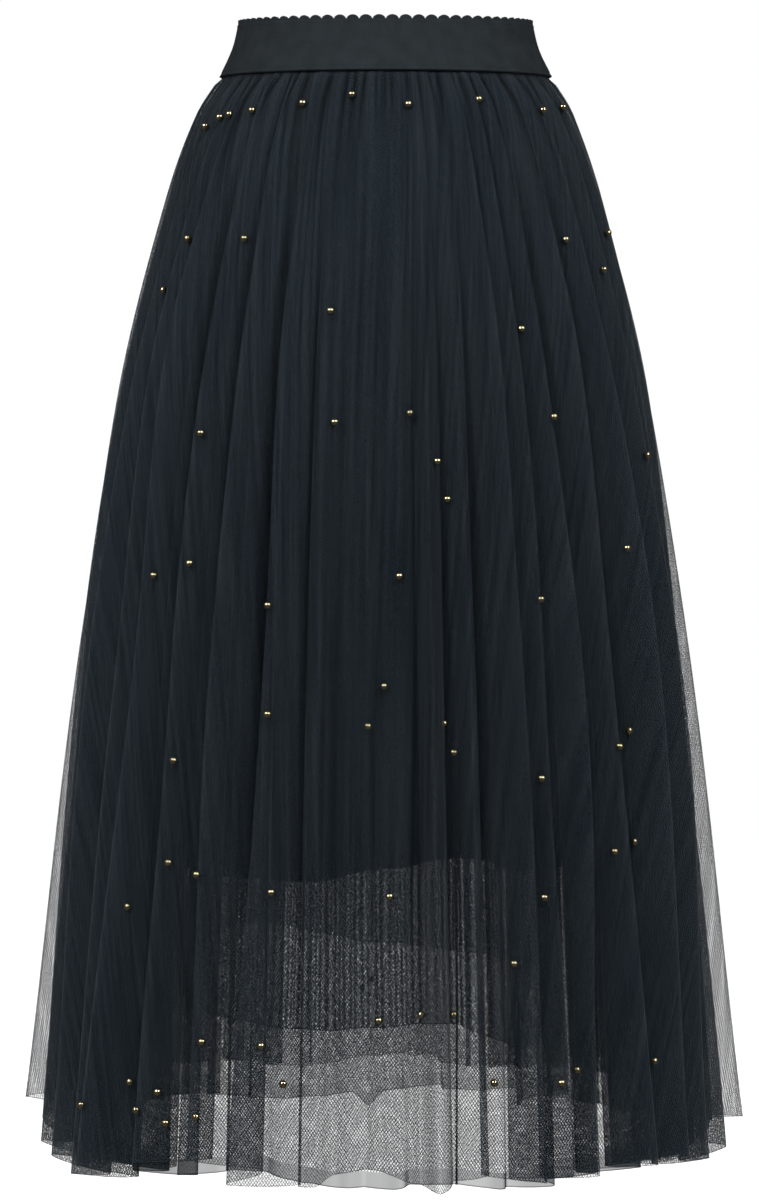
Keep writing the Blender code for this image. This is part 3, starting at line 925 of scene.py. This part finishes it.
for side, folds in (("front", LINING_FOLDS), ("back", back_folds(LINING_FOLDS))):
    columns = len(folds) * lining_layer.steps
    eases = tucks(columns, width=6, depth=0.0006, reach=0.05, chance=chance)
    name = f"lining_{side}_cloth"
    piece, flat, area = lay_panel(name, lining_cloth, lining_layer, folds, eases, chance)
    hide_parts(f"lining_{side}")

# --- The beads --------------------------------------------------------------------------------
# Small gold-coloured balls sewn to the outer net at random, closest together just under the
# band and above the hem. Those of the front are placed where they show in the picture, in its
# pixels from the left and from the top. Further ones are scattered over the sides and the back.

BEAD_RADIUS = 0.00275
PICTURE_MIDDLE = 385.5  # pixels from the left
PICTURE_WAIST = 55  # pixels from the top
Bead = namedtuple("Bead", "across down")
FRONT_BEADS = (
    Bead(208, 128), Bead(222, 119), Bead(231, 116), Bead(253, 112), Bead(304, 105), Bead(350, 96),
    Bead(409, 106), Bead(480, 101), Bead(541, 112), Bead(561, 109), Bead(190, 240),
    Bead(245, 240), Bead(564, 241), Bead(605, 234), Bead(601, 271), Bead(626, 290),
    Bead(166, 291), Bead(331, 312), Bead(521, 330), Bead(552, 418), Bead(408, 414),
    Bead(333, 423), Bead(202, 434), Bead(434, 462), Bead(644, 456), Bead(449, 500),
    Bead(625, 549), Bead(191, 564), Bead(156, 576), Bead(401, 577), Bead(541, 600),
    Bead(269, 606), Bead(386, 687), Bead(268, 715), Bead(367, 727), Bead(447, 724),
    Bead(627, 731), Bead(617, 747), Bead(456, 753), Bead(175, 761), Bead(541, 779),
    Bead(632, 842), Bead(613, 852), Bead(170, 863), Bead(199, 875), Bead(271, 893),
    Bead(391, 897), Bead(544, 898), Bead(130, 907), Bead(514, 964), Bead(376, 1021),
    Bead(425, 1015), Bead(450, 1015), Bead(203, 1042), Bead(261, 1046), Bead(652, 1061),
    Bead(576, 1070), Bead(132, 1082), Bead(282, 1084), Bead(495, 1083), Bead(561, 1083),
    Bead(159, 1092), Bead(84, 1105), Bead(138, 1110), Bead(197, 1117), Bead(167, 1123),
)
BACK_BEADS = 74
BACK_BEADS_TOP = -0.05
BACK_BEADS_LOW = -0.79
BACK_BEADS_SPREAD = 0.85  # below 1, they lie closer together near the hem
BACK_BEADS_ANGLES = (96.0, 264.0)
OUTSIDE = 0.5  # the radius of a circle well outside the skirt, from which they are laid

gold, _, surface = plain_material("gold bead", (0.88, 0.70, 0.42), roughness=0.11)
surface.inputs["Metallic"].default_value = 1.0

beads = bmesh.new()


def sew_bead(net_tree, start, towards):
    """Puts a bead just outside the net where a line from start meets it, or none if it misses."""
    place, normal, _, _ = net_tree.ray_cast(start, towards)
    if place is None:
        return
    if normal.dot(towards) > 0.0:
        normal.negate()
    ball = bmesh.ops.create_uvsphere(beads, u_segments=14, v_segments=10, radius=BEAD_RADIUS)
    bmesh.ops.translate(beads, verts=ball["verts"], vec=place + normal * BEAD_RADIUS)


def net_surface(piece):
    """The rest shape of a net, to lay beads on."""
    shape = bmesh.new()
    shape.from_mesh(piece.data)
    found = BVHTree.FromBMesh(shape)
    shape.free()
    return found


eye = Vector((CAMERA_RIGHT, -CAMERA_AWAY, EYE_HEIGHT))
front_net, back_net = net_surface(outer_pieces["front"]), net_surface(outer_pieces["back"])
for bead in FRONT_BEADS:
    across, up = bead.across - PICTURE_MIDDLE, PICTURE_WAIST - bead.down
    seen_at = Vector((across * PIXEL, 0.0, up * PIXEL))
    sew_bead(front_net, eye, (seen_at - eye).normalized())
for _ in range(BACK_BEADS):
    height = mixed(BACK_BEADS_TOP, BACK_BEADS_LOW, chance.random() ** BACK_BEADS_SPREAD)
    start, out, _ = on_ellipse(chance.uniform(*BACK_BEADS_ANGLES), OUTSIDE, OUTSIDE)
    start.z = height
    sew_bead(back_net, start, -out)
gold_beads = new_piece("gold_beads", beads, gold)
